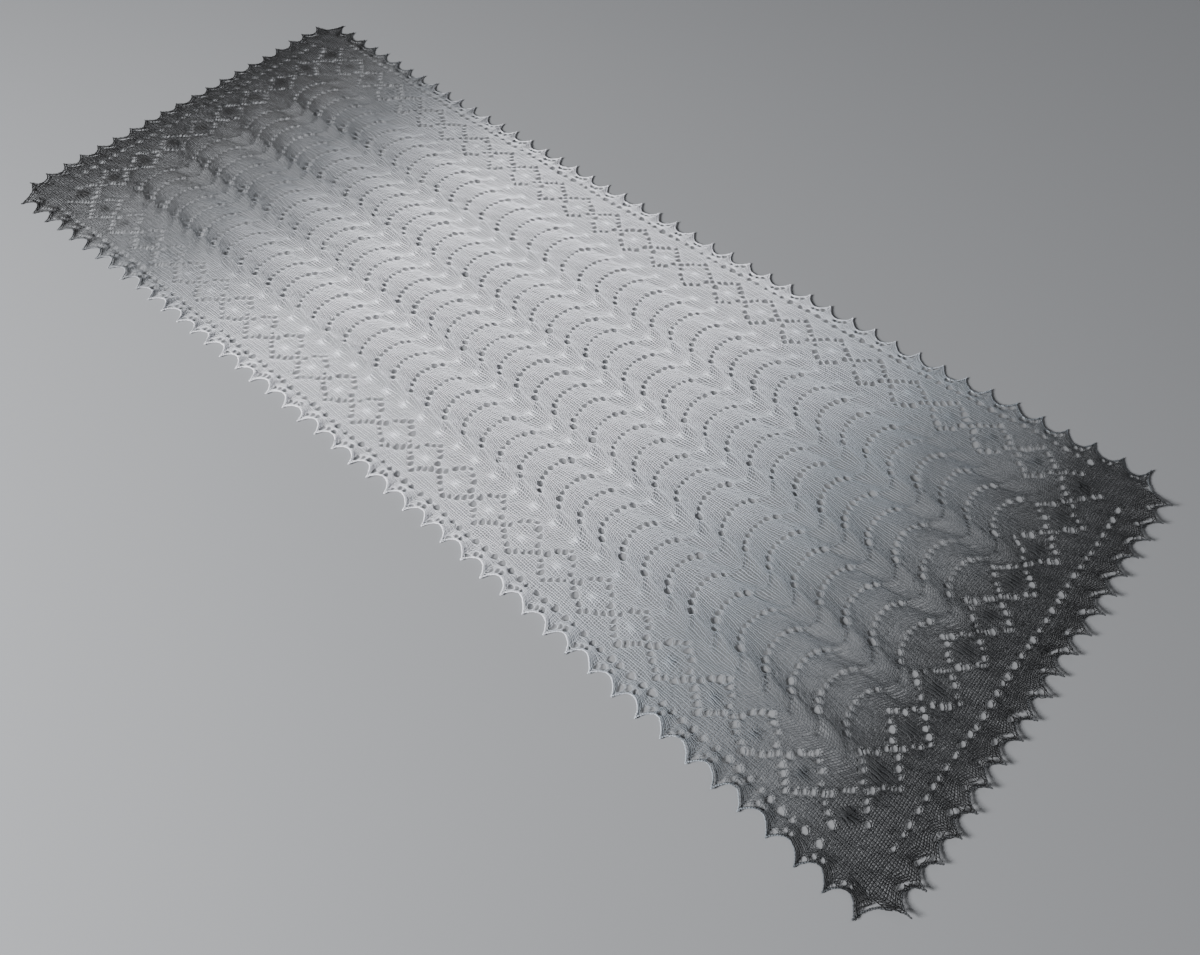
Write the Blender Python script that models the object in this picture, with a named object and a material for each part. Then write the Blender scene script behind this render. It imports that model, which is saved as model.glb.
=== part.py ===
# Knitted lace shawl laid flat: a fan lace centre, a border with a chain of diamonds and a pointed edging.
# Metres, +Z up. X runs across the shawl, Y along it with the near end at -Y, and the underside is at Z = 0.

import math

import bmesh
import bpy

# Blocked size, over the tips of the teeth
LENGTH = 1.570
WIDTH_MIDDLE = 0.592
WIDTH_END = 0.640
CLOTH = 0.002
SEAM_GAP = 0.0003

# How far each line lies inside the line of the tooth tips, at the long sides and at the short ends
LINES = {
    "tips": {"side": 0.000, "end": 0.000},
    "edging seam": {"side": 0.026, "end": 0.036},
    "eyelet row": {"side": 0.031, "end": 0.043},
    "diamonds": {"side": 0.067, "end": 0.091},
    "panel seam": {"side": 0.099, "end": 0.124},
}

# Teeth of the edging: how many tips stand on a line, and how far from the corner the last one stands
TEETH = {
    "side": {"tips": 46, "corner_gap": 0.037},
    "end": {"tips": 20, "corner_gap": 0.034},
}
TOOTH_DEPTH = 0.016
ARCH_STEPS = (0.08, 0.25, 0.50, 0.75, 0.92)
ARCH_ROUNDNESS = 0.65
CORNER_ARCH_DEPTH = 0.010
NEAR_TIP_LIFT = 0.005

# Fan lace of the centre: waves of eyelets that bulge to the far end, their crests at these places along Y
FANS = 4
FAN_WIDTH = 0.0955
WAVES = 40
FIRST_WAVE = -0.638
LAST_WAVE = 0.650
WAVE_DEPTH = 0.023
WAVE_SHARPNESS = 1.25
# Share of half a fan from its middle to its widest eyelet
WIDEST_EYELET = 0.64

# Steps in the chain of diamonds from one corner diamond to the next
DIAMONDS = {"side": 25, "end": 9}

# The largest eyelet of each repeat is cut through: half its size along its row and across it
EYELETS = {
    "fan": {"along": 0.0042, "across": 0.0032},
    "diamond": {"along": 0.0042, "across": 0.0032},
    "row": {"along": 0.0045, "across": 0.0030},
}
EYELET_CORNERS = 6

# Straight stretches in a line along the shawl and across it
LINE_STEPS = {"side": 14, "end": 6}

YARN_COLOURS = {
    "silver": (0.60, 0.62, 0.66, 1.0),
    "charcoal": (0.055, 0.055, 0.060, 1.0),
}
YARN_ROUGHNESS = 0.75

half_length = LENGTH / 2
half_width = WIDTH_MIDDLE / 2
flare = WIDTH_END / WIDTH_MIDDLE - 1


def clear_scene():
    for old in list(bpy.data.objects):
        bpy.data.objects.remove(old, do_unlink=True)


def blocked(point):
    """Where a point of the straight pattern goes when the shawl is pinned out: its ends are wider."""
    x, y = point
    return (x * (1 + flare * (y / half_length) ** 2), y)


def corner_of(line):
    """The far right corner of one of the nested lines."""
    return (half_width - LINES[line]["side"], half_length - LINES[line]["end"])


def line_points(line, edge):
    """A nested line at the right side, near to far, or at the far end, left to right."""
    x, y = corner_of(line)
    start = (x, -y) if edge == "side" else (-x, y)
    steps = LINE_STEPS[edge]
    points = []
    for step in range(steps + 1):
        t = step / steps
        points.append((start[0] + (x - start[0]) * t, start[1] + (y - start[1]) * t))
    return points


def arch(start, end, inward, depth):
    """The rounded gap between two tooth tips, from the first tip up to the last point before the second."""
    points = [start]
    for t in ARCH_STEPS:
        dip = depth * math.sin(math.pi * t) ** ARCH_ROUNDNESS
        x = start[0] + (end[0] - start[0]) * t + inward[0] * dip
        y = start[1] + (end[1] - start[1]) * t + inward[1] * dip
        points.append((x, y))
    return points


def half_corner_arch(edge):
    """The wide arch round the far right corner, from the last tip of this edge to the arch's middle."""
    tip_x, tip_y = corner_of("tips")
    side_tip = (tip_x, tip_y - TEETH["side"]["corner_gap"])
    end_tip = (tip_x - TEETH["end"]["corner_gap"], tip_y)
    diagonal = math.sqrt(0.5)
    whole = arch(side_tip, end_tip, (-diagonal, -diagonal), CORNER_ARCH_DEPTH) + [end_tip]
    if edge == "end":
        whole.reverse()
    return whole[: len(whole) // 2 + 1]


def toothed_line(edge):
    """The outer line of the edging, from the middle of one corner arch to the middle of the next."""
    tip_x, tip_y = corner_of("tips")
    last_half = half_corner_arch(edge)
    count = TEETH[edge]["tips"]
    if edge == "side":
        reach = tip_y - TEETH[edge]["corner_gap"]
        first_half = [(x, -y) for x, y in last_half]
        tips = [(tip_x, reach * (2 * i / (count - 1) - 1)) for i in range(count)]
        inward = (-1, 0)
    else:
        reach = tip_x - TEETH[edge]["corner_gap"]
        first_half = [(-x, y) for x, y in last_half]
        tips = [(reach * (2 * i / (count - 1) - 1), tip_y) for i in range(count)]
        inward = (0, -1)
    points = list(reversed(first_half))[:-1]
    for first, second in zip(tips, tips[1:]):
        points += arch(first, second, inward, TOOTH_DEPTH)
    return points + last_half


def strip_outline(outer, inner):
    return outer + list(reversed(inner))


def panel_outline():
    """The centre panel's edge, round by way of its four corners."""
    right = line_points("panel seam", "side")
    far = line_points("panel seam", "end")
    left = [(-x, y) for x, y in right]
    near = [(x, -y) for x, y in far]
    return right[:-1] + list(reversed(far))[:-1] + list(reversed(left))[:-1] + near[:-1]


def drawn_in(points, distance):
    """The outline moved inwards by a distance, so that neighbours keep a seam gap."""
    count = len(points)
    area = 0.0
    for i in range(count):
        x1, y1 = points[i]
        x2, y2 = points[(i + 1) % count]
        area += x1 * y2 - x2 * y1
    turn = 1 if area > 0 else -1
    normals = []
    for i in range(count):
        x1, y1 = points[i]
        x2, y2 = points[(i + 1) % count]
        run = math.hypot(x2 - x1, y2 - y1)
        normals.append((-(y2 - y1) / run * turn, (x2 - x1) / run * turn))
    moved = []
    for i in range(count):
        before = normals[i - 1]
        after = normals[i]
        share = distance / (1 + before[0] * after[0] + before[1] * after[1])
        moved.append((points[i][0] + (before[0] + after[0]) * share,
                      points[i][1] + (before[1] + after[1]) * share))
    return moved


def eyelet_ring(centre, angle, kind):
    """A six-cornered eyelet, long along its row."""
    x, y = blocked(centre)
    half = EYELETS[kind]
    ring = []
    for i in range(EYELET_CORNERS):
        turn = 2 * math.pi * (i + 0.5) / EYELET_CORNERS
        along = half["along"] * math.cos(turn)
        across = half["across"] * math.sin(turn)
        ring.append((x + along * math.cos(angle) - across * math.sin(angle),
                     y + along * math.sin(angle) + across * math.cos(angle)))
    return ring


def wave_lag(share):
    """How far a wave trails its crest, at a share of the way from a fan's middle to its edge."""
    return WAVE_DEPTH * (0.5 - 0.5 * math.cos(math.pi * share)) ** WAVE_SHARPNESS


def fan_eyelets():
    """The wide eyelet of each fan in each wave, on its right and its left in turn."""
    rings = []
    pitch = (LAST_WAVE - FIRST_WAVE) / (WAVES - 1)
    step = 0.05
    rise = wave_lag(WIDEST_EYELET + step) - wave_lag(WIDEST_EYELET - step)
    slope = math.atan2(rise, step * FAN_WIDTH)
    for fan in range(FANS):
        middle = (fan - (FANS - 1) / 2) * FAN_WIDTH
        for wave in range(WAVES):
            side = 1 if wave % 2 == 0 else -1
            x = middle + side * WIDEST_EYELET * FAN_WIDTH / 2
            y = FIRST_WAVE + wave * pitch - wave_lag(WIDEST_EYELET)
            rings.append(eyelet_ring((x, y), -side * slope, "fan"))
    return rings


def border_eyelets(edge):
    """One eyelet where two diamonds of the chain meet, and one beside it in the eyelet row."""
    rings = []
    corner_x, corner_y = corner_of("diamonds")
    row_x, row_y = corner_of("eyelet row")
    steps = DIAMONDS[edge]
    for step in range(steps):
        place = 2 * (step + 0.5) / steps - 1
        if edge == "side":
            rings.append(eyelet_ring((corner_x, place * corner_y), math.pi / 2, "diamond"))
            rings.append(eyelet_ring((row_x, place * corner_y), math.pi / 2, "row"))
        else:
            rings.append(eyelet_ring((place * corner_x, corner_y), 0.0, "diamond"))
            rings.append(eyelet_ring((place * corner_x, row_y), 0.0, "row"))
    return rings


def mirrored(points, across, along):
    return [(x * across, y * along) for x, y in points]


def yarn_material(name):
    material = bpy.data.materials.new("yarn_" + name)
    material.use_nodes = True
    shader = material.node_tree.nodes["Principled BSDF"]
    shader.inputs["Base Color"].default_value = YARN_COLOURS[name]
    shader.inputs["Roughness"].default_value = YARN_ROUGHNESS
    shader.inputs["Metallic"].default_value = 0.0
    return material


def add_ring(curve, points):
    spline = curve.splines.new("POLY")
    spline.points.add(len(points) - 1)
    for point, (x, y) in zip(spline.points, points):
        point.co = (x, y, 0.0, 1.0)
    spline.use_cyclic_u = True


def lay_panel(name, outline, eyelets, material, collection):
    """A flat piece of the cloth with its eyelets, lying on Z = 0."""
    curve = bpy.data.curves.new(name, "CURVE")
    curve.dimensions = "2D"
    curve.fill_mode = "BOTH"
    curve.extrude = CLOTH / 2
    curve.materials.append(material)
    add_ring(curve, drawn_in([blocked(point) for point in outline], SEAM_GAP / 2))
    for ring in eyelets:
        add_ring(curve, ring)
    panel = bpy.data.objects.new(name, curve)
    panel.location.z = CLOTH / 2
    collection.objects.link(panel)
    return panel


def lift_tips(panel, collection):
    """The teeth of the near end curl up a little: the piece becomes a mesh and its tips are raised."""
    bpy.context.view_layer.update()
    depsgraph = bpy.context.evaluated_depsgraph_get()
    mesh = bpy.data.meshes.new_from_object(panel.evaluated_get(depsgraph))
    cleaner = bmesh.new()
    cleaner.from_mesh(mesh)
    bmesh.ops.remove_doubles(cleaner, verts=cleaner.verts, dist=0.00001)
    seam = corner_of("edging seam")[1]
    for vertex in cleaner.verts:
        share = max(0.0, -vertex.co.y - seam) / (half_length - seam)
        vertex.co.z += NEAR_TIP_LIFT * share ** 2
    cleaner.to_mesh(mesh)
    cleaner.free()
    lifted = bpy.data.objects.new(panel.name + "_lifted", mesh)
    lifted.matrix_world = panel.matrix_world
    collection.objects.link(lifted)
    name = panel.name
    bpy.data.objects.remove(panel, do_unlink=True)
    lifted.name = name


def main():
    clear_scene()
    shawl = bpy.data.collections.new("lace_shawl")
    bpy.context.scene.collection.children.link(shawl)
    silver = yarn_material("silver")
    charcoal = yarn_material("charcoal")
    lay_panel("centre_panel", panel_outline(), fan_eyelets(), silver, shawl)
    places = {
        "right": ("side", 1, 1, silver),
        "left": ("side", -1, 1, silver),
        "far": ("end", 1, 1, charcoal),
        "near": ("end", 1, -1, charcoal),
    }
    for place, (edge, across, along, yarn) in places.items():
        border = strip_outline(line_points("edging seam", edge), line_points("panel seam", edge))
        edging = strip_outline(toothed_line(edge), line_points("edging seam", edge))
        eyelets = [mirrored(ring, across, along) for ring in border_eyelets(edge)]
        lay_panel("border_" + place, mirrored(border, across, along), eyelets, yarn, shawl)
        trim = lay_panel("edging_" + place, mirrored(edging, across, along), [], yarn, shawl)
        if place == "near":
            lift_tips(trim, shawl)


main()
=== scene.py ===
import math

import bpy
import numpy as np
from mathutils import Matrix, Vector


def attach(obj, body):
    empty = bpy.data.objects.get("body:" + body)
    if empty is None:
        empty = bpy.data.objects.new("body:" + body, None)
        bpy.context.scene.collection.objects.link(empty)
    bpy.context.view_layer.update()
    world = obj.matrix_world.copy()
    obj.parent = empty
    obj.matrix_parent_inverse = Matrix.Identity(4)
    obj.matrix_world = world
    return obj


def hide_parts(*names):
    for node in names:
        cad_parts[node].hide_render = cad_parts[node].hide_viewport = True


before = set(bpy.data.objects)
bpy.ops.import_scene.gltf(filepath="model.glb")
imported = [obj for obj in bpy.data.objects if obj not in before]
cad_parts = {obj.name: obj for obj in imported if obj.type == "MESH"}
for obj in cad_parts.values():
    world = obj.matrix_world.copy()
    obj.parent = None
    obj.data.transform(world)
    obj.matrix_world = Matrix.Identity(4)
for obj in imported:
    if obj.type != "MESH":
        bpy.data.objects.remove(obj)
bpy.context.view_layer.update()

rng = np.random.RandomState(7)

# sizes shared with the solids, in metres; "side" is a long side, "end" a short one
shawl = {
    "length": 1.570, "widthMiddle": 0.592, "widthEnd": 0.640,
    "edging": {"side": 0.026, "end": 0.036},       # insets from the line of the tips
    "eyeletRow": {"side": 0.031, "end": 0.043},
    "diamonds": {"side": 0.067, "end": 0.091},
    "panel": {"side": 0.099, "end": 0.124},
    "tips": {"side": 46, "end": 20},
    "cornerGap": {"side": 0.037, "end": 0.034},
    "toothDepth": 0.016, "archRoundness": 0.65, "cornerDepth": 0.010, "archPoints": 40,
    "nearLift": 0.005,
}
halfX = shawl["widthMiddle"] / 2
halfY = shawl["length"] / 2
flare = shawl["widthEnd"] / shawl["widthMiddle"] - 1
seamX = halfX - shawl["edging"]["side"]
seamY = halfY - shawl["edging"]["end"]
panelX = halfX - shawl["panel"]["side"]
panelY = halfY - shawl["panel"]["end"]
reachX = halfX - shawl["cornerGap"]["end"]        # last tip of an end
reachY = halfY - shawl["cornerGap"]["side"]       # last tip of a side


def blocked(xy):        # pinned-out place of a pattern point
    out = np.array(xy, float)
    out[..., 0] *= 1 + flare * (out[..., 1] / halfY) ** 2
    return out


def archDip(t):
    return np.sin(np.pi * np.clip(t, 0, 1)) ** shawl["archRoundness"]


def cornerArch(t):
    # the wide gap round the far right corner, from the side's last tip to the end's
    dip = shawl["cornerDepth"] * archDip(t) * math.sqrt(0.5)
    x = halfX + (reachX - halfX) * t - dip
    y = reachY + (halfY - reachY) * t - dip
    return x, y


archT = np.linspace(0, 0.5, shawl["archPoints"])
sideArchX, sideArchY = cornerArch(archT)
endArchX, endArchY = cornerArch(1 - archT)


def sideEdge(y):        # x of the toothed right side
    pitch = 2 * reachY / (shawl["tips"]["side"] - 1)
    t = np.mod((np.clip(np.abs(y), 0, reachY) * np.sign(y) + reachY) / pitch, 1)
    return halfX - shawl["toothDepth"] * archDip(t)


def endEdge(x):        # y of the toothed far end
    pitch = 2 * reachX / (shawl["tips"]["end"] - 1)
    t = np.mod((np.clip(x, -reachX, reachX) + reachX) / pitch, 1)
    teeth = halfY - shawl["toothDepth"] * archDip(t)
    order = np.argsort(endArchX)
    corner = np.interp(np.abs(x), endArchX[order], endArchY[order])
    return np.where(np.abs(x) > reachX, corner, teeth)


print("outline ready")

# the stitch chart: columns from left to right, rows from the far end to the near end
chart = {
    "fans": 4, "fanWidth": 0.0955, "fanStitches": 21, "fanEyelets": 8, "firstEyelet": 3,
    "waves": 40, "farCrest": 0.650, "nearCrest": -0.638, "waveRows": 11,
    "waveDepth": 0.022, "waveSharpness": 1.65, "borderLag": 0.0095, "borderSettle": 0.012,
    "borderStitches": 15, "edgingStitches": 4, "edgingRows": 10, "farRows": 33, "nearRows": 37,
    "spread": 1.35,        # width of a fan's middle stitches just before a wave, in mean stitch widths
    "holePitch": 0.88,        # half the spacing of a wave's eyelets, in mean stitch widths
    "gatherLate": 1.4,        # above 1, the stitches keep their width until just before the next wave
    "fadeRows": 10, "straightRows": 4, "easedRows": 6, "cornerRows": 4,
}
fanHalf = chart["fans"] * chart["fanStitches"] // 2
fanEdge = chart["fans"] * chart["fanWidth"] / 2
columns = 2 * (fanHalf + chart["borderStitches"] + chart["edgingStitches"])
levelSeamFar = chart["edgingRows"]
levelFirst = levelSeamFar + chart["farRows"]
levelLast = levelFirst + (chart["waves"] - 1) * chart["waveRows"]
levelSeamNear = levelLast + chart["nearRows"]
rows = levelSeamNear + chart["edgingRows"]


def smooth(t):
    t = np.clip(t, 0, 1)
    return t * t * (3 - 2 * t)


def crestY(level):
    return np.interp(level, [levelSeamFar, levelFirst, levelLast, levelSeamNear],
                     [seamY, chart["farCrest"], chart["nearCrest"], -seamY])


def waveLag(x, level):        # how far a row trails its crest, towards the near end
    a = np.abs(x)
    share = np.abs(np.mod(a, chart["fanWidth"]) / chart["fanWidth"] * 2 - 1)
    fan = chart["waveDepth"] * (0.5 - 0.5 * np.cos(np.pi * share)) ** chart["waveSharpness"]
    off = (a - fanEdge) / chart["borderSettle"]
    side = chart["borderLag"] + (chart["waveDepth"] - chart["borderLag"]) * np.exp(-off ** 2)
    straight = chart["straightRows"]
    eased = chart["easedRows"]
    fade = smooth((level - levelSeamFar - straight) / (chart["farRows"] - eased))
    fade = fade * smooth((levelSeamNear - straight - level) / (chart["nearRows"] - eased))
    return np.where(a <= fanEdge, fan, side) * fade


def fanPlace(j, phase):
    # place of stitch j in its fan, in mean widths: phase 0 just after a wave's eyelets, 1 before the next
    count = chart["fanStitches"]
    first = chart["firstEyelet"]
    between = chart["fanEyelets"] - 1        # stitches that stand between the eyelets
    side = (count - between) / 2
    lead = (count - between * chart["spread"]) / 2
    centred = j - (count - 1) / 2
    fromRim = np.minimum(j, count - 1 - j) + 0.5

    def laid(rim, rimPitch, pitch):
        atRim = fromRim * rimPitch
        atRim = np.where(centred < 0, atRim, count - atRim)
        return np.where(fromRim < rim, atRim, count / 2 + centred * pitch)

    before = laid(side, lead / side, chart["spread"])
    after = laid(first, lead / (first + 0.5), chart["holePitch"])
    return after + (before - after) * phase ** chart["gatherLate"]


def columnX(rowPhase, amount):        # x of every column on every row, without the edging's teeth
    q = np.arange(columns) - columns / 2 + 0.5
    a = np.abs(q)
    j = np.mod(q + fanHalf, chart["fanStitches"]) - 0.5
    fan = np.floor((q + fanHalf) / chart["fanStitches"]) - chart["fans"] / 2
    even = j + 0.5
    place = even + (fanPlace(j[None, :], rowPhase[:, None]) - even) * amount[:, None]
    inFan = (fan + place / chart["fanStitches"]) * chart["fanWidth"]
    border = fanEdge + (a - fanHalf) * (seamX - fanEdge) / chart["borderStitches"]
    edging = (a - fanHalf - chart["borderStitches"]) / chart["edgingStitches"]
    return np.where(a < fanHalf, inFan, np.sign(q) * border), np.sign(q), edging


def place(rowPhase, amount, level):        # pattern places of every column at one level for each row
    x, side, edging = columnX(rowPhase, amount)
    level = level[:, None] + 0 * x
    y = crestY(level) - waveLag(x, level)
    tooth = seamX + (sideEdge(y) - seamX) * np.clip(edging, 0, 1)
    x = np.where(edging > 0, side * tooth, x)
    farShare = np.clip((levelSeamFar - level) / chart["edgingRows"], 0, 1)
    nearShare = np.clip((level - levelSeamNear) / chart["edgingRows"], 0, 1)
    past = farShare + nearShare
    y = np.where(past > 0, np.sign(y) * (seamY + (endEdge(x) - seamY) * past), y)
    lastRows = chart["cornerRows"] * (chart["farCrest"] - chart["nearCrest"]) / (levelLast - levelFirst)
    near = smooth((np.abs(y) - seamY + lastRows) / lastRows)
    order = np.argsort(sideArchX)
    rise = np.interp(np.abs(x), sideArchX[order], sideArchY[order]) - seamY
    y = np.where((edging > 0) & (past == 0), y + np.sign(y) * near * rise, y)
    return np.stack([x, y], -1)


rowIndex = np.arange(rows)
inWaves = (rowIndex >= levelFirst) & (rowIndex < levelLast)
phase = np.where(inWaves, np.mod(rowIndex - levelFirst, chart["waveRows"]) / chart["waveRows"], 0.0)
phaseBase = np.where(rowIndex < levelFirst, 1.0, phase)
phaseHead = np.where(rowIndex < levelFirst, 1.0, np.where(inWaves, phase + 1 / chart["waveRows"], 0.0))
farAmount = 1 - (levelFirst - rowIndex) / chart["fadeRows"]
nearAmount = 1 - (rowIndex - levelLast) / chart["fadeRows"]
amountBase = np.clip(np.minimum(farAmount, nearAmount), 0, 1)
amountHead = np.clip(np.minimum(farAmount + 1 / chart["fadeRows"], nearAmount - 1 / chart["fadeRows"]), 0, 1)
overlap = 0.05        # how far a loop's head passes the next row, in rows
base = place(phaseBase, amountBase, rowIndex * 1.0)
head = place(phaseHead, amountHead, rowIndex + 1.0 + overlap)
middle = (base + head) / 2
knitted = np.ones((rows, columns), bool)        # the corner squares outside both seams hold no stitches
outerColumn = np.abs(np.arange(columns) - columns / 2 + 0.5) > fanHalf + chart["borderStitches"]
outerRow = (rowIndex < levelSeamFar) | (rowIndex >= levelSeamNear)
knitted[np.ix_(outerRow, outerColumn)] = False
yarnOver = np.zeros((rows, columns), bool)        # stitches made over an eyelet, with no stitch under them
print("chart ready,", int(knitted.sum()), "stitches")

# eyelets: half sizes across and along the shawl
eyelets = {
    "fanSizes": (0.0042, 0.0038, 0.0033, 0.0030),        # from a fan's rims to its middle
    "diamond": (0.0039, 0.0038),
    "row": (0.0036, 0.0042),
    "tooth": 0.0034,
    "rowsPerDiamond": 4, "diamondSteps": 4, "diamondHalf": 0.0245,
    "steps": {"side": 25, "end": 9},
    "reach": 1.6, "rim": 1.04, "uneven": 0.13, "offCentre": 0.00035,
    "toothPlaces": (0.10, 0.28, 0.48), "toothInset": 0.0046, "apart": 0.0052, "nearEnough": 0.004,
    "upStitch": 0.4,        # an eyelet's middle, as a share of the way up its stitch
}
holes = []        # x, y, half size across, half size along


def addHole(row, column, across, along):
    yarnOver[row, column] = True
    up = eyelets["upStitch"]
    centre = blocked((1 - up) * base[row, column] + up * head[row, column])
    scale = 1 + eyelets["uneven"] * np.clip(rng.randn(), -2, 2)
    centre = centre + eyelets["offCentre"] * rng.randn(2)
    holes.append((centre[0], centre[1], across * scale, along * scale))


def holeNear(x, y, across, along, ok):
    gap = np.hypot(middle[..., 0] - x, middle[..., 1] - y)
    gap[~ok] = np.inf
    row, column = np.unravel_index(gap.argmin(), gap.shape)
    x, y = blocked(middle[row, column])
    crowded = any(math.hypot(hole[0] - x, hole[1] - y) < eyelets["apart"] for hole in holes)
    if gap[row, column] < eyelets["nearEnough"] and not crowded:
        addHole(row, column, across, along)


for wave in range(chart["waves"]):
    row = levelFirst + wave * chart["waveRows"]
    for fan in range(chart["fans"]):
        start = columns // 2 - fanHalf + fan * chart["fanStitches"]
        for number in range(chart["fanEyelets"]):
            size = eyelets["fanSizes"][min(number, chart["fanEyelets"] - 1 - number)]
            addHole(row, start + chart["firstEyelet"] + 2 * number, size, size)

plain = knitted.copy()
plain[levelFirst - 1:levelLast + 1, columns // 2 - fanHalf:columns // 2 + fanHalf] = False
gathers = {        # reach, pull towards the middle, rise, and how much thicker the yarn lies
    "star": (0.0072, 0.45, 0.0006, 1.70),
    "knot": (0.0062, 0.45, 0.0010, 2.60),
    "slits": (0.0030, 0.25, 0.0003, 0.10),
    "knotDrop": 0.0015, "slitOff": 0.0120, "paleTo": 0.28, "paleFade": 0.20,
}
knots = []
for edge in ("side", "end"):
    alongSide = edge == "side"
    chainX = halfX - shawl["diamonds"]["side"]
    chainY = halfY - shawl["diamonds"]["end"]
    span = chainY if alongSide else chainX
    line = chainX if alongSide else chainY
    rowLine = (halfX if alongSide else halfY) - shawl["eyeletRow"][edge]
    steps = eyelets["steps"][edge]
    period = 2 * span / steps
    for sign in (-1, 1):
        for step in range(steps):
            crossing = -span + (step + 0.5) * period
            for k in range(-eyelets["diamondSteps"] + 1, eyelets["diamondSteps"] + 1):
                for way in ((1,) if k == 0 else (-1, 1)):
                    off = way * eyelets["diamondHalf"] * abs(k) / eyelets["diamondSteps"]
                    at = crossing + k * period / 2 / eyelets["diamondSteps"]
                    spot = (sign * (line + off), at) if alongSide else (at, sign * (line + off))
                    size = eyelets["diamond"] if alongSide else eyelets["diamond"][::-1]
                    holeNear(*spot, *size, plain & ~yarnOver)
            for k in range(eyelets["rowsPerDiamond"]):
                at = crossing + (k - 1.5) * period / eyelets["rowsPerDiamond"]
                spot = (sign * rowLine, at) if alongSide else (at, sign * rowLine)
                size = eyelets["row"] if alongSide else eyelets["row"][::-1]
                holeNear(*spot, *size, plain & ~yarnOver)
        for step in range(steps + 1):
            at = -span + step * period
            spot = (sign * line, at) if alongSide else (at, sign * line)
            knots.append((*blocked(spot), *gathers["star"]))
        tips = shawl["tips"][edge]
        reach = reachY if alongSide else reachX
        for tip in range(tips - 1):
            for t in eyelets["toothPlaces"] if sign > 0 else [1 - t for t in eyelets["toothPlaces"]]:
                at = reach * (2 * (tip + t) / (tips - 1) - 1)
                if alongSide:
                    spot = (sign * (sideEdge(at) - eyelets["toothInset"]), at)
                else:
                    spot = (at, sign * (endEdge(at) - eyelets["toothInset"]))
                holeNear(*spot, eyelets["tooth"], eyelets["tooth"], knitted & ~yarnOver)

for wave in range(chart["waves"]):        # gathered stitches where the fans meet
    level = levelFirst + wave * chart["waveRows"]
    for cusp in range(chart["fans"] + 1):
        x = -fanEdge + cusp * chart["fanWidth"]
        y = crestY(level) - waveLag(x, level) - gathers["knotDrop"]
        reach, pull, rise, thicker = gathers["knot"]
        # the knots stand out in the pale part alone
        pale = 1 - smooth((abs(y) - gathers["paleTo"]) / gathers["paleFade"])
        knots.append((*blocked((x, y)), reach, pull, rise * pale, thicker * pale))
        for way in (-1, 1):
            xs = x + way * gathers["slitOff"]
            if abs(xs) < fanEdge:
                ys = crestY(level) - waveLag(xs, level)
                knots.append((*blocked((xs, ys)), *gathers["slits"]))
print("eyelets:", len(holes), "gathers:", len(knots))

# yarn path of every row: up one leg of a loop, over its head, down the other leg, on to the next loop
yarn = {"halfWidth": 0.00025, "ridge": 0.00058, "arcWider": 1.05, "footSpread": 0.24, "headSpread": 0.26,
        "footHeight": 0.0019, "headHeight": 0.0015, "wobble": 0.00010, "wobbleUp": 0.00005,
        "floorGap": 0.00015, "stitchUneven": 0.00026, "rowUneven": 0.00010, "wander": 0.0009,
        "endsFuller": 0.9, "fullerFrom": 0.60, "fullerOver": 0.10,        # thicker yarn in the dark ends
        "sharpest": 0.62, "leastGap": 0.05, "pushReach": 3}


def towards(points, spread, way):
    # points moved a share of the way to their left or right neighbour
    other = np.roll(points, -way, axis=1)
    rim = 0 if way < 0 else -1
    other[:, rim] = 2 * points[:, rim] - points[:, 1 if way < 0 else -2]
    return points + spread * (other - points)


path = np.stack([towards(base, yarn["footSpread"], -1), towards(head, yarn["headSpread"], -1),
                 towards(head, yarn["headSpread"], 1), towards(base, yarn["footSpread"], 1)], 2)
atRow = np.broadcast_to(rowIndex[:, None, None], path.shape[:3]) + np.array([0, 1, 1, 0])
uneven = yarn["stitchUneven"] * rng.randn(rows + 1, columns, 2)
uneven[:, :, 1] += yarn["rowUneven"] * rng.randn(rows + 1, 1)
path += uneven[atRow, np.arange(columns)[None, :, None]]
edgeLimit = sideEdge(path[..., 1])
path[..., 0] = np.clip(path[..., 0], -edgeLimit, edgeLimit)
pathXY = blocked(path)
isHead = np.broadcast_to(np.array([False, True, True, False]), path.shape[:3])
stitchId = np.broadcast_to(np.arange(rows * columns).reshape(rows, columns, 1), path.shape[:3])
keep = knitted[:, :, None] & ~(yarnOver[:, :, None] & ~isHead)

rowLow = pathXY[..., 1].min(axis=(1, 2))
rowHigh = pathXY[..., 1].max(axis=(1, 2))
columnLow = pathXY[..., 0].min(axis=(0, 2))
columnHigh = pathXY[..., 0].max(axis=(0, 2))
shift = np.zeros_like(pathXY)
height = np.zeros(pathXY.shape[:3])
swell = np.ones(pathXY.shape[:3])


def nearby(x, y, reach):        # the rows and columns that come near a spot
    byRow = np.nonzero((rowLow < y + reach) & (rowHigh > y - reach))[0]
    byColumn = np.nonzero((columnLow < x + reach) & (columnHigh > x - reach))[0]
    return slice(byRow[0], byRow[-1] + 1), slice(byColumn[0], byColumn[-1] + 1)


for x, y, across, along in holes:        # yarn is pushed out of each eyelet and crowds round its rim
    part = nearby(x, y, yarn["pushReach"] * max(across, along))
    dx = (pathXY[part][..., 0] - x) / across
    dy = (pathXY[part][..., 1] - y) / along
    d = np.maximum(np.hypot(dx, dy), yarn["leastGap"])
    out = np.sqrt(d ** 2 + np.exp(-(d / eyelets["reach"]) ** 2)) / d - 1
    shift[part][..., 0] += dx * out * across
    shift[part][..., 1] += dy * out * along
for x, y, reach, pull, rise, thicker in knots:
    part = nearby(x, y, yarn["pushReach"] * reach)
    dx = pathXY[part][..., 0] - x
    dy = pathXY[part][..., 1] - y
    near = np.exp(-(dx ** 2 + dy ** 2) / reach ** 2)
    shift[part][..., 0] -= dx * near * pull
    shift[part][..., 1] -= dy * near * pull
    height[part] += rise * near
    swell[part] += thicker * near
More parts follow.
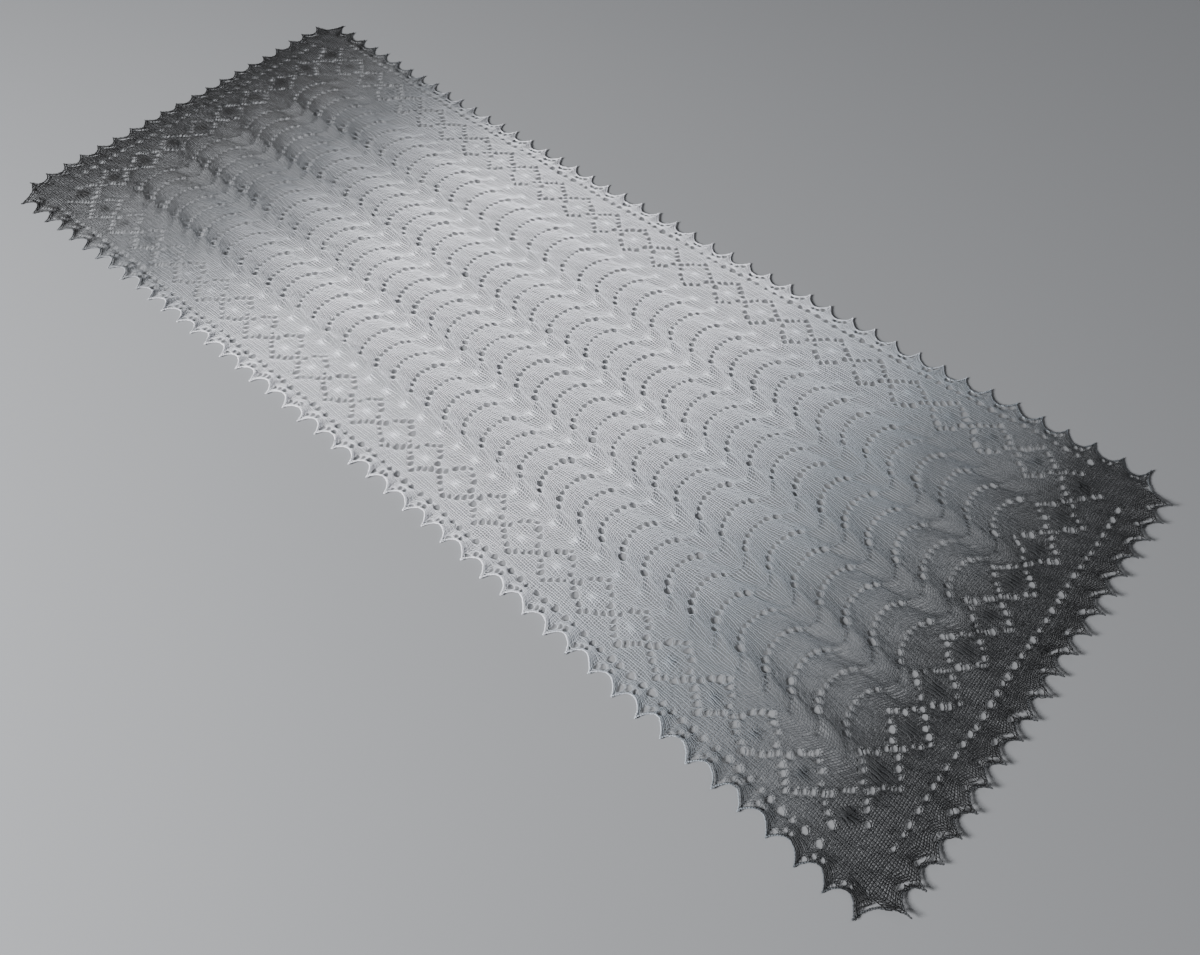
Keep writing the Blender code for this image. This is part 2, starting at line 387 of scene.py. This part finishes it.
swell *= 1 + yarn["endsFuller"] * smooth((np.abs(pathXY[..., 1]) - yarn["fullerFrom"]) / yarn["fullerOver"])


wanderWaves = [(2 * math.pi / length, angle, start) for length, angle, start in
               zip((0.021, 0.034, 0.055, 0.090), (0.4, 1.5, 2.6, 0.9), (1.0, 4.2, 2.3, 5.1))]


def wander(xy):        # hand-knitted lines are never quite straight
    out = np.array(xy, float)
    for number, (pace, angle, start) in enumerate(wanderWaves):
        wave = np.sin(pace * (xy[..., 0] * math.cos(angle) + xy[..., 1] * math.sin(angle)) + start)
        out[..., number % 2] += yarn["wander"] * (0.5 + number / 6) * wave
    return out


lie = {"slack": 0.00035, "across": (31, 7, 5), "along": (23, 5, 9)}        # pace, bend and pace of the bend


def lift(x, y):
    # height of the cloth: slack between the stitches, and curling teeth at the near end
    paceX, bendX, turnY = lie["across"]
    paceY, bendY, turnX = lie["along"]
    ripple = np.sin(paceX * x + bendX * np.sin(turnY * y)) + np.sin(paceY * y + bendY * np.cos(turnX * x))
    slack = lie["slack"] * (2 + ripple)
    curl = np.clip((-y - seamY) / (halfY - seamY), 0, 1) ** 2
    return slack + shawl["nearLift"] * curl


def unit(v):
    return v / np.maximum(np.linalg.norm(v, axis=-1, keepdims=True), 1e-9)


flat = keep.ravel()
bent = (pathXY + shift + yarn["wobble"] * rng.randn(*shift.shape)).reshape(-1, 2)[flat]
rise = (np.where(isHead, yarn["headHeight"], yarn["footHeight"]) + height).ravel()[flat]
thick = swell.ravel()[flat]
ofHead = isHead.ravel()[flat]
ofStitch = stitchId.ravel()[flat]
legNext = np.append(ofHead[:-1] != ofHead[1:], False)        # each point's stretch to the next is a leg
runsOn = (ofStitch[1:] // columns == ofStitch[:-1] // columns) & (np.diff(ofStitch) <= 2)
runsOn = np.append(runsOn, False)

# a strand that would cut straight across an eyelet goes round its rim
cell = 0.0005
room = 2.1        # widths of the half shawl that the grid of cells spans
owner = np.full((int(room * halfX * (1 + flare) / cell), int(room * halfY / cell)), -1)
centre = np.array(owner.shape) // 2
for number, (x, y, across, along) in enumerate(holes):
    i, k = (np.array([x, y]) / cell).astype(int) + centre
    di, dk = int(across / cell) + 1, int(along / cell) + 1
    spot = np.mgrid[i - di:i + di + 1, k - dk:k + dk + 1]
    inside = ((spot[0] - centre[0]) * cell - x) ** 2 / across ** 2 + \
        ((spot[1] - centre[1]) * cell - y) ** 2 / along ** 2 < 1
    owner[spot[0][inside], spot[1][inside]] = number
halfway = (bent + np.roll(bent, -1, axis=0)) / 2
spot = np.clip((halfway / cell).astype(int) + centre, 0, np.array(owner.shape) - 1)
number = owner[spot[:, 0], spot[:, 1]]
cut = np.nonzero(runsOn & (number >= 0))[0]
holeTable = np.array(holes)[number[cut]]
offset = (halfway[cut] - holeTable[:, :2]) / holeTable[:, 2:]
gap = np.maximum(np.linalg.norm(offset, axis=1, keepdims=True), yarn["leastGap"])
around = holeTable[:, :2] + offset / gap * eyelets["rim"] * holeTable[:, 2:]
bent = np.insert(bent, cut + 1, around, axis=0)
rise = np.insert(rise, cut + 1, (rise[cut] + rise[cut + 1]) / 2)
thick = np.insert(thick, cut + 1, thick[cut])
ofStitch = np.insert(ofStitch, cut + 1, ofStitch[cut])
legNext = np.insert(legNext, cut + 1, legNext[cut])
runsOn = np.insert(runsOn, cut + 1, True)

xy = wander(bent)
z = rise + lift(xy[:, 0], xy[:, 1]) + yarn["wobbleUp"] * rng.randn(len(xy))
points = np.concatenate([xy, np.maximum(z, yarn["floorGap"])[:, None]], 1)
stride = np.diff(xy, axis=0, append=xy[-1:])
stride[~runsOn] = 0
ahead = unit(stride)
behind = np.roll(ahead, 1, axis=0)
heading = unit(ahead + behind)
turn = np.sum(heading * np.where(runsOn[:, None], ahead, behind), 1)
halfWidth = yarn["halfWidth"] * thick / np.clip(turn, yarn["sharpest"], 1)
sideways = np.stack([-heading[:, 1], heading[:, 0]], 1) * halfWidth[:, None]
print("yarn laid,", len(points), "points,", len(cut), "strands led round eyelets")

# which stretch each stitch belongs to
insetX = halfX - np.abs(middle[..., 0])
insetY = halfY - np.abs(middle[..., 1])
inPanel = (insetX > shawl["panel"]["side"]) & (insetY > shawl["panel"]["end"])
inBorder = (insetX > shawl["edging"]["side"]) & (insetY > shawl["edging"]["end"]) & ~inPanel


def shareOut(inset, edge):        # how near a stitch is to the outer seam of its band, 0 to 1
    inner = shawl["panel"][edge]
    outer = shawl["edging"][edge]
    return np.where(inBorder, (inner - inset) / (inner - outer), 1 - inset / outer)


bandX = shareOut(insetX, "side")
bandY = shareOut(insetY, "end")
bySide = bandX > bandY
place4 = np.where(bySide, np.where(middle[..., 0] > 0, 1, 0), np.where(middle[..., 1] > 0, 3, 2))
thirds = np.clip(((1 - middle[..., 1] / panelY) * 1.5).astype(int), 0, 2)
pieceOf = np.where(inPanel, thirds, np.where(inBorder, 3 + place4, 7 + place4))
pieceNames = ["panelFar", "panelMiddle", "panelNear", "borderLeft", "borderRight", "borderNear", "borderFar",
              "edgingLeft", "edgingRight", "edgingNear", "edgingFar"]
nodeNames = ["centre_panel"] * 3 + ["border_left", "border_right", "border_near", "border_far",
                                    "edging_left", "edging_right", "edging_near", "edging_far"]
pieceOfPoint = pieceOf.ravel()[ofStitch]


def meshPiece(name, vertices, quads):
    mesh = bpy.data.meshes.new(name)
    mesh.vertices.add(len(vertices))
    mesh.vertices.foreach_set("co", vertices.astype(np.float32).ravel())
    mesh.loops.add(quads.size)
    mesh.loops.foreach_set("vertex_index", quads.astype(np.int32).ravel())
    mesh.polygons.add(len(quads))
    mesh.polygons.foreach_set("loop_start", np.arange(0, quads.size, 4, dtype=np.int32))
    mesh.update(calc_edges=True)
    mesh.validate()
    mesh.shade_smooth()
    low = vertices[:, :2].min(0)
    span = np.ptp(vertices[:, :2], axis=0).max() * 1.01
    layer = mesh.uv_layers.new(name="OFBake")        # the piece laid flat, seen from above
    layer.data.foreach_set("uv", ((vertices[quads.ravel(), :2] - low) / span).astype(np.float32).ravel())
    piece = bpy.data.objects.new(name, mesh)
    bpy.context.scene.collection.objects.link(piece)
    return piece


ridge = np.array([0, 0, yarn["ridge"]])
flank = np.concatenate([sideways, np.zeros((len(points), 1))], 1)
wide = flank * yarn["arcWider"]
# left, ridge and right of each point, then left and right of its arcs
strand = np.stack([points + flank, points + ridge, points - flank, points + wide, points - wide], 1)
lengths = np.nonzero(runsOn)[0]


def yarnPiece(number, name):
    # the strands of one stretch: roofed along the legs, flat over the heads and between the loops
    mine = lengths[pieceOfPoint[lengths] == number]
    leg = mine[legNext[mine]]
    arc = mine[~legNext[mine]]
    quads = []
    for start, (a, b) in ((leg, (0, 1)), (leg, (1, 2)), (arc, (3, 4))):
        i, k = 5 * start, 5 * (start + 1)
        quads.append(np.stack([i + a, i + b, k + b, k + a], 1))
    quads = np.concatenate(quads)
    used, renumbered = np.unique(quads, return_inverse=True)
    return meshPiece(name, strand.reshape(-1, 3)[used], renumbered.reshape(quads.shape))


net = {name: yarnPiece(number, name) for number, name in enumerate(pieceNames)}
print("net made,", sum(len(piece.data.polygons) for piece in net.values()), "quads")

# the thick cast-off edge, a knobbly cord round the teeth
castOff = {"radius": 0.0008, "sides": 5, "knob": 0.0026, "knobRise": 0.32, "ringsPerKnob": 3,
           "rise": 0.0003, "sway": 0.00025, "pointsPerTooth": 24}


def closeAtTips(steps):        # shares of an arch, closer together near its ends
    return (1 - np.cos(np.pi * np.arange(steps + 1) / steps)) / 2


def alongTeeth(edge, corner):
    # the outline of one edge, from one corner to the other, over a corner's arch where it has one
    tips = shawl["tips"][edge]
    reach = reachY if edge == "side" else reachX
    turnT = closeAtTips(castOff["pointsPerTooth"])[:-1]
    t = np.concatenate([(tooth + turnT) / (tips - 1) for tooth in range(tips - 1)] + [[1]])
    at = reach * (2 * t - 1)
    t = np.tile(turnT, tips - 1)
    dip = np.append(shawl["toothDepth"] * archDip(t), 0)
    if edge == "side":
        line = np.stack([halfX - dip, at], 1)
    else:
        line = np.stack([at, halfY - dip], 1)
    if corner:
        arch = np.stack(cornerArch(closeAtTips(shawl["archPoints"] - 1)), 1)
        line = np.concatenate([arch[:-1] * (-1, 1), line, arch[::-1][1:]])
    return line


def cordAlong(name, line):
    line = wander(blocked(line))
    run = np.concatenate([[0], np.cumsum(np.linalg.norm(np.diff(line, axis=0), axis=1))])
    step = castOff["knob"] / castOff["ringsPerKnob"]
    count = int(run[-1] / step)
    at = np.linspace(0, run[-1], count)
    centre = np.stack([np.interp(at, run, line[:, 0]), np.interp(at, run, line[:, 1])], 1)
    beat = 2 * np.pi * np.arange(count) / castOff["ringsPerKnob"]
    radius = castOff["radius"] * (1 + castOff["knobRise"] * np.cos(beat))
    heading = unit(np.gradient(centre, axis=0))
    aside = np.stack([-heading[:, 1], heading[:, 0]], 1)
    centre = centre + aside * (castOff["sway"] * rng.randn(count))[:, None]
    z = radius + lift(centre[:, 0], centre[:, 1]) + castOff["rise"]
    angle = 2 * np.pi * np.arange(castOff["sides"]) / castOff["sides"]
    ring = radius[:, None] * np.cos(angle)
    xyRing = centre[:, None, :] + aside[:, None, :] * ring[:, :, None]
    zRing = z[:, None] + radius[:, None] * np.sin(angle)
    vertices = np.concatenate([xyRing, zRing[:, :, None]], 2).reshape(-1, 3)
    sides = castOff["sides"]
    first = np.arange(count - 1)[:, None] * sides
    i = first + np.arange(sides)
    k = first + (np.arange(sides) + 1) % sides
    quads = np.stack([i, k, k + sides, i + sides], 2).reshape(-1, 4)
    return meshPiece(name, vertices, quads[:, ::-1])


sideLine = alongTeeth("side", False)
endLine = alongTeeth("end", True)
castOffPieces = {
    "edgingRight": cordAlong("castOffRight", sideLine),
    "edgingLeft": cordAlong("castOffLeft", sideLine[::-1] * (-1, 1)),
    "edgingFar": cordAlong("castOffFar", endLine),
    "edgingNear": cordAlong("castOffNear", endLine[::-1] * (1, -1)),
}
print("cast-off edge made")


class Wire:        # a socket that can be used in sums
    def __init__(self, tree, socket=None):
        self.tree = tree
        self.socket = socket

    def node(self, kind, settings, inputs, output=0):
        made = self.tree.nodes.new(kind)
        for key, value in settings.items():
            if key == "stops":
                ramp = made.color_ramp.elements
                for at, colour in value[1:-1]:
                    ramp.new(at).color = (*colour, 1)
                ramp[0].position, ramp[0].color = value[0][0], (*value[0][1], 1)
                ramp[-1].position, ramp[-1].color = value[-1][0], (*value[-1][1], 1)
            else:
                setattr(made, key, value)
        for key, value in inputs.items():
            if isinstance(value, Wire):
                self.tree.links.new(value.socket, made.inputs[key])
            else:
                made.inputs[key].default_value = value
        return Wire(self.tree, None if output is None else made.outputs[output])

    def maths(self, operation, first, second):
        return self.node("ShaderNodeMath", {"operation": operation}, {0: first, 1: second})

    def __add__(self, other):
        return self.maths("ADD", self, other)

    def __sub__(self, other):
        return self.maths("SUBTRACT", self, other)

    def __rsub__(self, other):
        return self.maths("SUBTRACT", other, self)

    def __mul__(self, other):
        return self.maths("MULTIPLY", self, other)

    __radd__ = __add__
    __rmul__ = __mul__


yarnLook = {
    "shades": [        # from the near end to the far end
        (0.000, (0.006, 0.006, 0.0065)),
        (0.040, (0.021, 0.022, 0.024)),
        (0.070, (0.040, 0.042, 0.045)),
        (0.118, (0.088, 0.096, 0.106)),
        (0.194, (0.270, 0.300, 0.335)),
        (0.270, (0.550, 0.580, 0.635)),
        (0.350, (0.810, 0.820, 0.880)),
        (0.630, (0.855, 0.860, 0.915)),
        (0.690, (0.650, 0.662, 0.705)),
        (0.735, (0.420, 0.432, 0.465)),
        (0.806, (0.150, 0.159, 0.172)),
        (0.882, (0.054, 0.055, 0.057)),
        (0.935, (0.023, 0.023, 0.024)),
        (1.000, (0.006, 0.006, 0.0065)),
    ],
    "edgePaintedLightReach": 0.86,        # the thick edge takes paler shades than the net beside it: partly the yarn's own paler colour, partly painted light for the thick cord catching more light than the thin net
    "drift": 0.05, "driftScale": 14, "patchy": 0.16, "patchScale": 60,
    "fibre": 0.30, "fibreScale": 1400, "fluffScale": 4200, "bump": 0.45, "bumpDepth": 0.0003,
    "roughness": 0.55, "specular": 0.20, "sheen": 0.04, "sheenRoughness": 0.40,
}


def yarnMaterial(name, reach):        # a reach below 1 takes the shades from nearer to the middle
    material = bpy.data.materials.new(name)
    material.use_nodes = True
    tree = material.node_tree
    tree.nodes.clear()
    wire = Wire(tree)
    position = wire.node("ShaderNodeTexCoord", {}, {}, "Object")
    alongY = wire.node("ShaderNodeSeparateXYZ", {}, {0: position}, "Y")
    drift = wire.node("ShaderNodeTexNoise", {}, {"Vector": position, "Scale": yarnLook["driftScale"],
                                                 "Detail": 3.0}, 0)
    share = alongY * (reach / shawl["length"]) + 0.5 + (drift - 0.5) * yarnLook["drift"]
    shade = wire.node("ShaderNodeValToRGB", {"stops": yarnLook["shades"]}, {"Fac": share}, "Color")
    patch = wire.node("ShaderNodeTexNoise", {}, {"Vector": position, "Scale": yarnLook["patchScale"],
                                                 "Detail": 2.0}, 0)
    fibre = wire.node("ShaderNodeTexNoise", {}, {"Vector": position, "Scale": yarnLook["fibreScale"],
                                                 "Detail": 3.0, "Roughness": 0.7}, 0)
    shading = 1 + (patch - 0.5) * yarnLook["patchy"] + (fibre - 0.5) * yarnLook["fibre"]
    colour = wire.node("ShaderNodeMix", {"data_type": "RGBA", "blend_type": "MULTIPLY"},
                       {0: 1.0, 6: shade, 7: shading}, 2)
    fluff = wire.node("ShaderNodeTexNoise", {}, {"Vector": position, "Scale": yarnLook["fluffScale"],
                                                 "Detail": 2.0}, 0)
    bump = wire.node("ShaderNodeBump", {}, {"Strength": yarnLook["bump"], "Distance": yarnLook["bumpDepth"],
                                            "Height": fluff + fibre}, "Normal")
    shader = wire.node("ShaderNodeBsdfPrincipled", {},
                       {"Base Color": colour, "Roughness": yarnLook["roughness"], "Normal": bump,
                        "Specular IOR Level": yarnLook["specular"], "Sheen Weight": yarnLook["sheen"],
                        "Sheen Roughness": yarnLook["sheenRoughness"]}, "BSDF")
    wire.node("ShaderNodeOutputMaterial", {}, {"Surface": shader}, None)
    return material


gradientYarn = yarnMaterial("gradientYarn", 1.0)
# the cast-off cord's copy of the yarn, painted paler: partly its own colour, partly a painted highlight
edgeYarnPaintedLight = yarnMaterial("edgeYarnPaintedLight", yarnLook["edgePaintedLightReach"])
for piece in [*net.values(), *castOffPieces.values()]:
    piece.data.materials.append(gradientYarn if piece in net.values() else edgeYarnPaintedLight)
    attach(piece, "root")
print("yarn dyed")


def meanFlare(fromY, toY):
    return 1 + flare * (toY ** 3 - fromY ** 3) / (3 * (toY - fromY) * halfY ** 2)


# the flat cut of each stretch, in metres: across, along, and its area where it isn't a rectangle
meanDip = shawl["toothDepth"] * archDip(np.linspace(0, 1, 200)).mean()
sideBand = shawl["panel"]["side"] - shawl["edging"]["side"]
endBand = shawl["panel"]["end"] - shawl["edging"]["end"]
endFlare = meanFlare(panelY, halfY)
sideCut = (sideBand, 2 * seamY)
endCut = (2 * seamX * endFlare, endBand)
sideEdgeCut = (shawl["edging"]["side"], 2 * seamY)
endEdgeCut = (2 * seamX * endFlare, shawl["edging"]["end"])
cuts = {
    "panelMiddle": ((2 * panelX * meanFlare(0, panelY / 3), panelY * 2 / 3), None),
    "panelFar": ((2 * panelX * meanFlare(panelY / 3, panelY), panelY * 2 / 3), None),
    "borderLeft": (sideCut, sideBand * (seamY + panelY)),
    "borderFar": (endCut, endBand * (seamX + panelX) * endFlare),
    "edgingLeft": (sideEdgeCut, (shawl["edging"]["side"] - meanDip) * 2 * seamY),
    "edgingFar": (endEdgeCut, (shawl["edging"]["end"] - meanDip) * 2 * seamX * endFlare),
}
for twin, first in (("panelNear", "panelFar"), ("borderRight", "borderLeft"), ("borderNear", "borderFar"),
                    ("edgingRight", "edgingLeft"), ("edgingNear", "edgingFar")):
    cuts[twin] = cuts[first]
for name, node in zip(pieceNames, nodeNames):
    flatSize, area = cuts[name]
    edge = [castOffPieces[name]] if name in castOffPieces else []
    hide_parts(node)
    faces = np.zeros(len(net[name].data.polygons))
    net[name].data.polygons.foreach_get("area", faces)
    print(name, "yarn over cloth", round(faces.sum() / (area or flatSize[0] * flatSize[1]), 2))

# the surface it lies on, the lights and the camera
studio = {
    "floorSize": 14.0, "floorShade": (0.235, 0.240, 0.250), "floorRoughness": 0.9,
    "sky": (0.80, 0.84, 0.90), "skyStrength": 0.08,
    "lights": [        # name, place, size, watts
        ("key", (-2.80, 0.90, 1.75), 1.0, 350),
        ("fill", (1.90, -1.10, 1.90), 2.2, 14),
    ],
    "aim": (0.0, 0.0, 0.0),
}
cameraPlace = {"at": (-0.52538, -0.66344, 0.87858), "heading": 45.93, "downTilt": 56.68, "roll": -2.79,
               "lens": 26.40, "sensor": 36.0}

bpy.ops.mesh.primitive_plane_add(size=studio["floorSize"])
floor = bpy.context.object
floor.name = "floor"
floorMaterial = bpy.data.materials.new("floorPlain")
floorMaterial.use_nodes = True
floorShader = floorMaterial.node_tree.nodes["Principled BSDF"]
floorShader.inputs["Base Color"].default_value = (*studio["floorShade"], 1)
floorShader.inputs["Roughness"].default_value = studio["floorRoughness"]
floorShader.inputs["Specular IOR Level"].default_value = 0
floor.data.materials.append(floorMaterial)

world = bpy.data.worlds.new("studio")
world.use_nodes = True
world.node_tree.nodes["Background"].inputs["Color"].default_value = (*studio["sky"], 1)
world.node_tree.nodes["Background"].inputs["Strength"].default_value = studio["skyStrength"]
bpy.context.scene.world = world
for name, at, size, watts in studio["lights"]:
    light = bpy.data.lights.new(name, "AREA")
    light.size = size
    light.energy = watts
    lamp = bpy.data.objects.new(name, light)
    lamp.location = at
    lamp.rotation_euler = (Vector(studio["aim"]) - Vector(at)).to_track_quat("-Z", "Y").to_euler()
    bpy.context.scene.collection.objects.link(lamp)

turned = math.radians(cameraPlace["heading"])
downTilt = math.radians(cameraPlace["downTilt"])
roll = math.radians(cameraPlace["roll"])
forward = Vector((math.sin(turned) * math.cos(downTilt), math.cos(turned) * math.cos(downTilt),
                  -math.sin(downTilt)))
acrossView = Vector((math.cos(turned), -math.sin(turned), 0))
right = math.cos(roll) * acrossView + math.sin(roll) * acrossView.cross(forward)
camera = bpy.data.objects.new("camera", bpy.data.cameras.new("camera"))
camera.data.lens = cameraPlace["lens"]
camera.data.sensor_width = cameraPlace["sensor"]
facing = Matrix((right, right.cross(forward), -forward)).transposed()
camera.matrix_world = Matrix.Translation(cameraPlace["at"]) @ facing.to_4x4()
bpy.context.scene.collection.objects.link(camera)
bpy.context.scene.camera = camera
print("studio set")
